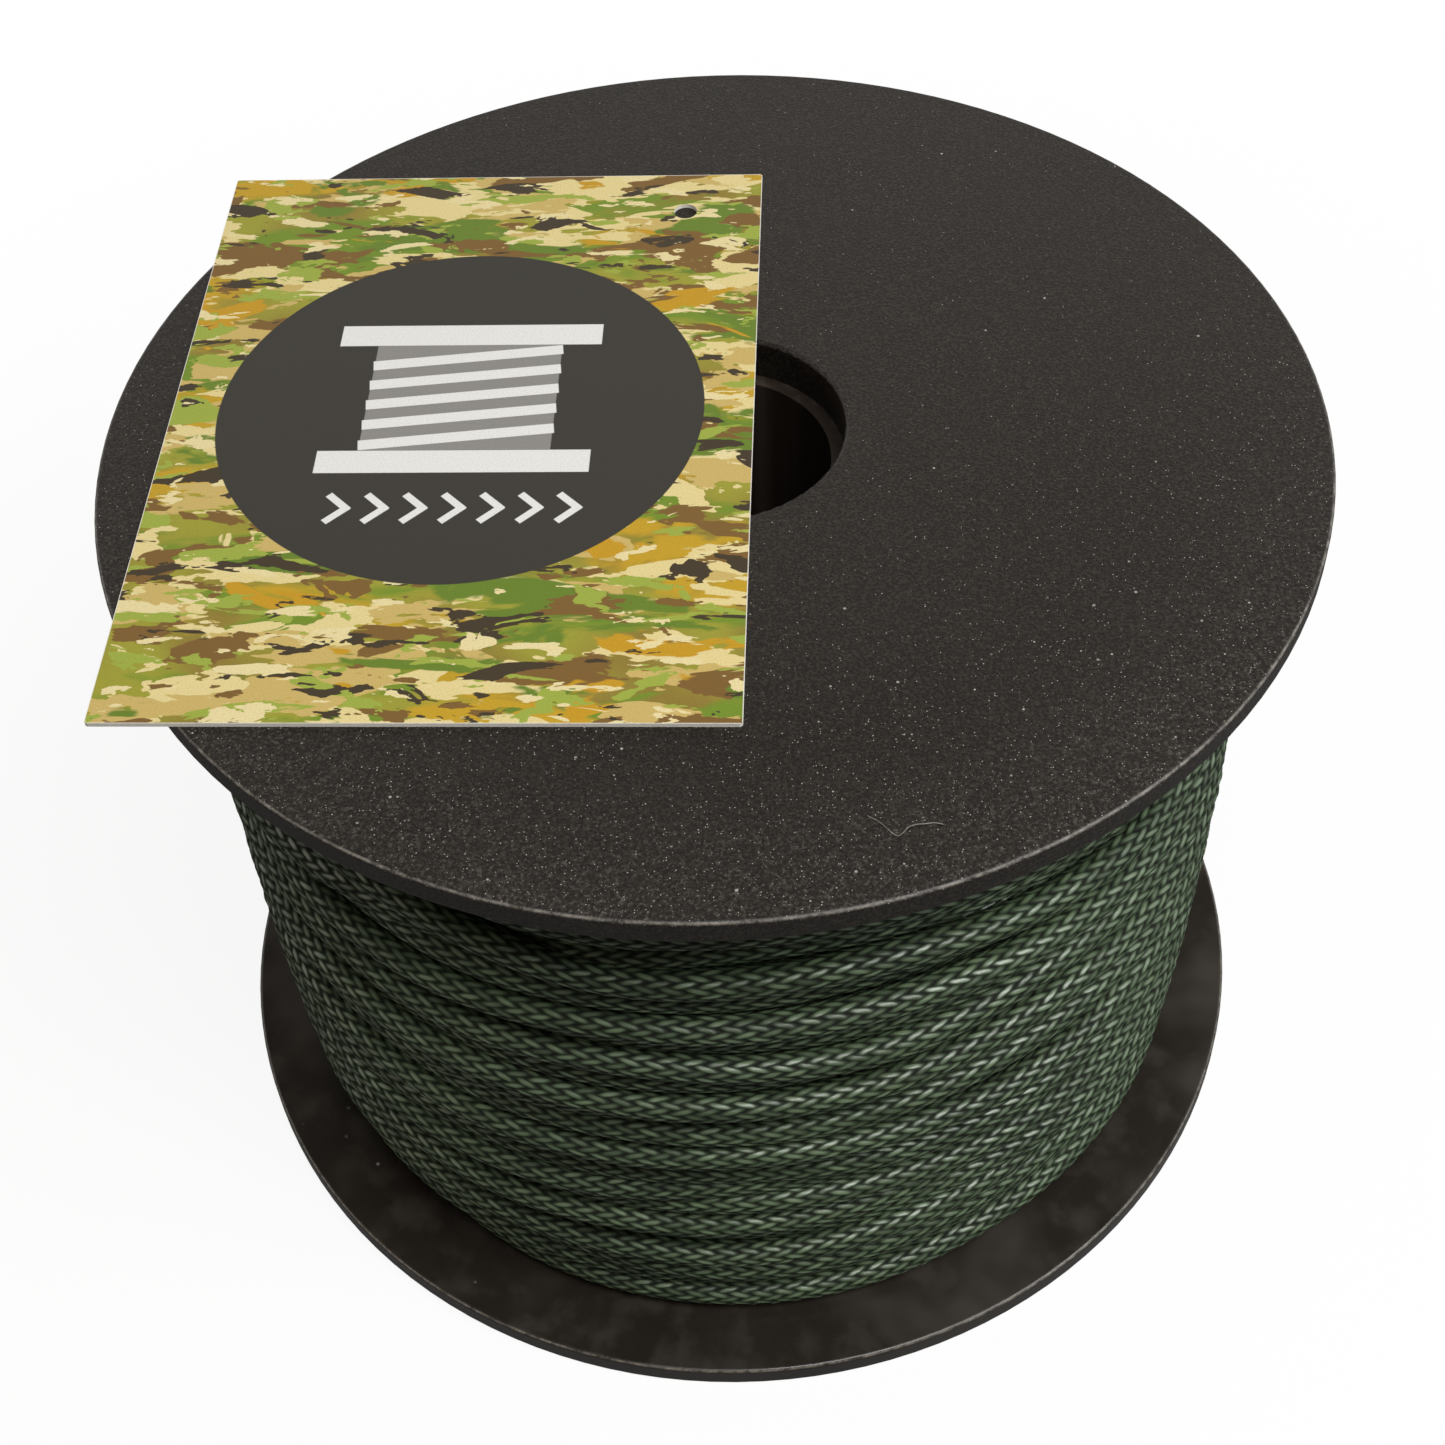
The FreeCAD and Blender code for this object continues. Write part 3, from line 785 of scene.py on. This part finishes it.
for number, (height, depth) in enumerate(zip(line_heights, line_sunk)):
    angle = math.radians(left_end - 90) + 2 * math.pi * number / control_points
    to_end = min(number, len(line_heights) - 1 - number)
    tucked = tuck_depth * max(0, 1 - to_end / tuck_points) ** 2
    radius = (full_radius(height) - depth - tucked) / curve_draws_in
    outer_route.append((radius * math.cos(angle), radius * math.sin(angle), height))
outer_line = read_route(outer_route, 30)
outer_plaits = int(measure(outer_line)[-1] / plait_length)
pieces_of_it = 6
cuts = [round(outer_plaits * k / pieces_of_it) for k in range(pieces_of_it + 1)]
for number in range(pieces_of_it):
    stretch = braided_cord(f"cord_outer_layer_{number + 1}", outer_line, from_axis,
                           mostly_outward, 6, cuts[number], cuts[number + 1])
    stretch.data.materials.append(cord_green)
    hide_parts("cord_outer_layer")
    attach(stretch, "reel")


# A loose fibre, pulled out of the cord when it was cut, has settled with the dust on the upper
# flange near its front. It is one fine pale filament, and it lies flat on the plastic.
fibre_radius = 0.05 * mm
fibre_sides = 6
fibre_route = [(12.2, -53.9), (13.1, -54.5), (13.8, -55.4), (14.4, -56.2), (14.8, -56.5),
               (15.3, -56.1), (15.7, -55.5), (16.4, -55.2), (17.5, -55.2), (18.4, -55.1),
               (19.0, -55.4)]
fibre_line = [Vector(at) for at in read_route(
    [(x * mm, y * mm, face_height + fibre_radius) for x, y in fibre_route], 3)]
fibre_shape = bmesh.new()
bmesh.ops.create_circle(fibre_shape, segments=fibre_sides, radius=fibre_radius)
ahead = fibre_line[1] - fibre_line[0]
bmesh.ops.rotate(fibre_shape, verts=fibre_shape.verts, cent=(0, 0, 0),
                 matrix=ahead.to_track_quat("Z", "Y").to_matrix())
bmesh.ops.translate(fibre_shape, verts=fibre_shape.verts, vec=fibre_line[0])
ring_edges = fibre_shape.edges[:]
for here, there in zip(fibre_line, fibre_line[1:]):
    drawn = bmesh.ops.extrude_edge_only(fibre_shape, edges=ring_edges)["geom"]
    ring = [part for part in drawn if isinstance(part, bmesh.types.BMVert)]
    ring_edges = [part for part in drawn if isinstance(part, bmesh.types.BMEdge)]
    bmesh.ops.translate(fibre_shape, verts=ring, vec=there - here)
    bmesh.ops.rotate(fibre_shape, verts=ring, cent=there,
                     matrix=ahead.rotation_difference(there - here).to_matrix())
    ahead = there - here
ends = [edge for edge in fibre_shape.edges if edge.is_boundary]
bmesh.ops.holes_fill(fibre_shape, edges=ends, sides=fibre_sides)
bmesh.ops.recalc_face_normals(fibre_shape, faces=fibre_shape.faces)
fibre = new_object("cord_loose_fibre", mesh_of("cord_loose_fibre", fibre_shape))
fibre.data.shade_smooth()

fibre_grey, tree, output = new_material("loose_fibre")
place = wire(tree, "TexCoord").outputs["Object"]
along_it = fade(tree, noise_at(tree, place, 900.0, 3.0), 0.3, 0.7)
tone = blend_colours(tree, along_it, srgb(84, 82, 74), srgb(140, 138, 128))
set_surface(tree, output, {"Base Color": tone,
                           "Roughness": reckon(tree, "MULTIPLY_ADD", along_it, -0.15, 0.6)})
fibre.data.materials.append(fibre_grey)
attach(fibre, "reel")


# Hang card: a rectangle of coated white board, printed on top with a mottled green and brown
# ground and a dark disc with the outline of a reel, and punched for a peg. It lies loose.
card_middle = Vector((-26.7, 2.5, 0)) * mm
card_turn = math.radians(-4.2)
card_top = 93.7 * mm
card_half_width, card_half_length = 31.4 * mm, 42.8 * mm
disc_middle = (-0.1 * mm, 1.6 * mm)
disc_radius = 26.2 * mm


def blotches():
    """One ink of a mottled print: ragged patches, longer across the card than along it. Edge is
    how far a patch fades: almost nothing for a crisp one, and more for one that was sprayed."""
    group, takes, gives = new_effect(
        "blotches", {"Place": "Vector", "Scale": "Float", "Least": "Float", "Edge": "Float",
                     "Seed": "Float"}, {"Ink": "Float"})
    stretched = wire(group, "Mapping", {"Vector": takes["Place"], "Scale": (0.34, 1, 1)})
    noisy = wire(group, "TexNoise", {"Vector": stretched.outputs[0], "W": takes["Seed"],
                                     "Scale": takes["Scale"], "Detail": 4.0,
                                     "Roughness": 0.56, "Distortion": 0.6},
                 noise_dimensions="4D")
    over = reckon(group, "SUBTRACT", noisy.outputs["Fac"], takes["Least"])
    group.links.new(fade(group, over, 0.0, takes["Edge"]), gives["Ink"])
    return group


def stroke():
    """A printed bar: 1 inside it and 0 outside. Its middle, half length, half width and slant."""
    group, takes, gives = new_effect(
        "stroke", {"Place": "Vector", "Middle": "Vector", "Slant": "Vector", "Half": "Vector"},
        {"Ink": "Float"})
    moved = wire(group, "VectorMath", {0: takes["Place"], 1: takes["Middle"]},
                 operation="SUBTRACT").outputs[0]
    turned = wire(group, "VectorRotate", {"Vector": moved, "Rotation": takes["Slant"]},
                  rotation_type="EULER_XYZ", invert=True).outputs[0]
    size = wire(group, "VectorMath", {0: turned}, operation="ABSOLUTE").outputs[0]
    over = wire(group, "VectorMath", {0: size, 1: takes["Half"]}, operation="SUBTRACT")
    apart = wire(group, "SeparateXYZ", {0: over.outputs[0]}).outputs
    edge = reckon(group, "MAXIMUM", apart[0], apart[1])
    group.links.new(fade(group, edge, 0.05 * mm, -0.05 * mm), gives["Ink"])
    return group


blotch = blotches()
bar = stroke()
card_print, tree, output = new_material("printed_card")
place = wire(tree, "TexCoord").outputs["Object"]
on_card = wire(tree, "Mapping", {"Vector": place, "Location": card_middle,
                                 "Rotation": (0, 0, card_turn)}, vector_type="TEXTURE").outputs[0]
apart = wire(tree, "SeparateXYZ", {0: on_card}).outputs
flat = wire(tree, "CombineXYZ", {0: apart[0], 1: apart[1]}).outputs[0]
ground = blend_colours(tree, fade(tree, noise_at(tree, flat, 60.0, 2.0), 0.4, 0.62),
                       srgb(152, 150, 46), srgb(136, 114, 42))
# Each ink of the ground: the scale of its blotches, how much of the noise it leaves out, how far
# they fade, its seed and its colour.
inks = [(130, 0.5, 0.08, 1.7, srgb(110, 136, 30)), (110, 0.53, 0.07, 3.4, srgb(190, 152, 26)),
        (210, 0.53, 0.006, 5.2, srgb(222, 204, 142)), (190, 0.55, 0.006, 7.9, srgb(198, 172, 100)),
        (150, 0.56, 0.03, 9.9, srgb(98, 124, 30)), (230, 0.555, 0.008, 14.3, srgb(120, 88, 36)),
        (170, 0.6, 0.02, 17.5, srgb(192, 146, 18)), (300, 0.57, 0.006, 25.6, srgb(152, 166, 62)),
        (290, 0.585, 0.006, 33.1, srgb(58, 46, 26)), (420, 0.6, 0.006, 41.8, srgb(226, 210, 156))]
for scale, least, edge, seed, ink in inks:
    ink_share = use_effect(tree, blotch, {"Place": flat, "Scale": scale, "Least": least,
                                          "Edge": edge, "Seed": seed})["Ink"]
    ground = blend_colours(tree, ink_share, ground, ink)
from_disc = wire(tree, "VectorMath", {0: flat, 1: (*disc_middle, 0)}, operation="SUBTRACT")
disc_out = wire(tree, "VectorMath", {0: from_disc.outputs[0]}, operation="LENGTH")
in_disc = fade(tree, disc_out.outputs["Value"], disc_radius + 0.05 * mm, disc_radius - 0.05 * mm)
printed = blend_colours(tree, in_disc, ground, srgb(48, 45, 39))
pale, mid = srgb(226, 226, 222), srgb(136, 134, 130)
# Each stroke of the picture: its middle and its half size in mm, its slant in degrees, its ink.
strokes = [((0, 12.2), (14.5, 1.7), 0, pale), ((0, -8.2), (14.5, 1.7), 0, pale),
           ((0, 2.0), (10.2, 8.5), 0, mid)]
strokes += [((0, -4.4 + 3.2 * k), (10.4, 0.75), 7, pale) for k in range(5)]
strokes += [((-12.0 + 4 * k + 0.85, -14.3), (1.6, 0.42), -45, pale) for k in range(7)]
strokes += [((-12.0 + 4 * k + 0.85, -16.1), (1.6, 0.42), 45, pale) for k in range(7)]
for (x, y), (half_x, half_y), slant, ink in strokes:
    ink_share = use_effect(tree, bar, {
        "Place": from_disc.outputs[0], "Middle": (x * mm, y * mm, 0),
        "Half": (half_x * mm, half_y * mm, 0), "Slant": (0, 0, math.radians(slant))})["Ink"]
    printed = blend_colours(tree, ink_share, printed, ink)
print_dots = fade(tree, noise_at(tree, flat, 5200.0, 1.0), 0.35, 0.75)
printed = blend_colours(tree, reckon(tree, "MULTIPLY", print_dots, 0.14), printed,
                        srgb(60, 55, 40))
on_top = fade(tree, wire(tree, "SeparateXYZ", {0: place}).outputs[2], card_top - 0.04 * mm,
              card_top - 0.01 * mm)
fibres = noise_at(tree, place, 1900.0, 3.0, 0.7)
board = blend_colours(tree, fibres, srgb(214, 208, 196), srgb(238, 234, 226))
past_sides = reckon(tree, "SUBTRACT", reckon(tree, "ABSOLUTE", apart[0]), card_half_width)
past_ends = reckon(tree, "SUBTRACT", reckon(tree, "ABSOLUTE", apart[1]), card_half_length)
inked = fade(tree, reckon(tree, "MAXIMUM", past_sides, past_ends), -0.04 * mm, -0.1 * mm)
shown = blend_colours(tree, reckon(tree, "MULTIPLY", on_top, inked), board, printed)
gloss = reckon(tree, "MULTIPLY_ADD", on_top, -0.3, 0.78)
gloss = reckon(tree, "MULTIPLY_ADD", fibres, 0.1, gloss)
set_surface(tree, output, {"Base Color": shown, "Roughness": gloss,
                           "Normal": relief_of(tree, fibres, 0.2, 0.02 * mm)})
paint_node("hang_card", card_print)
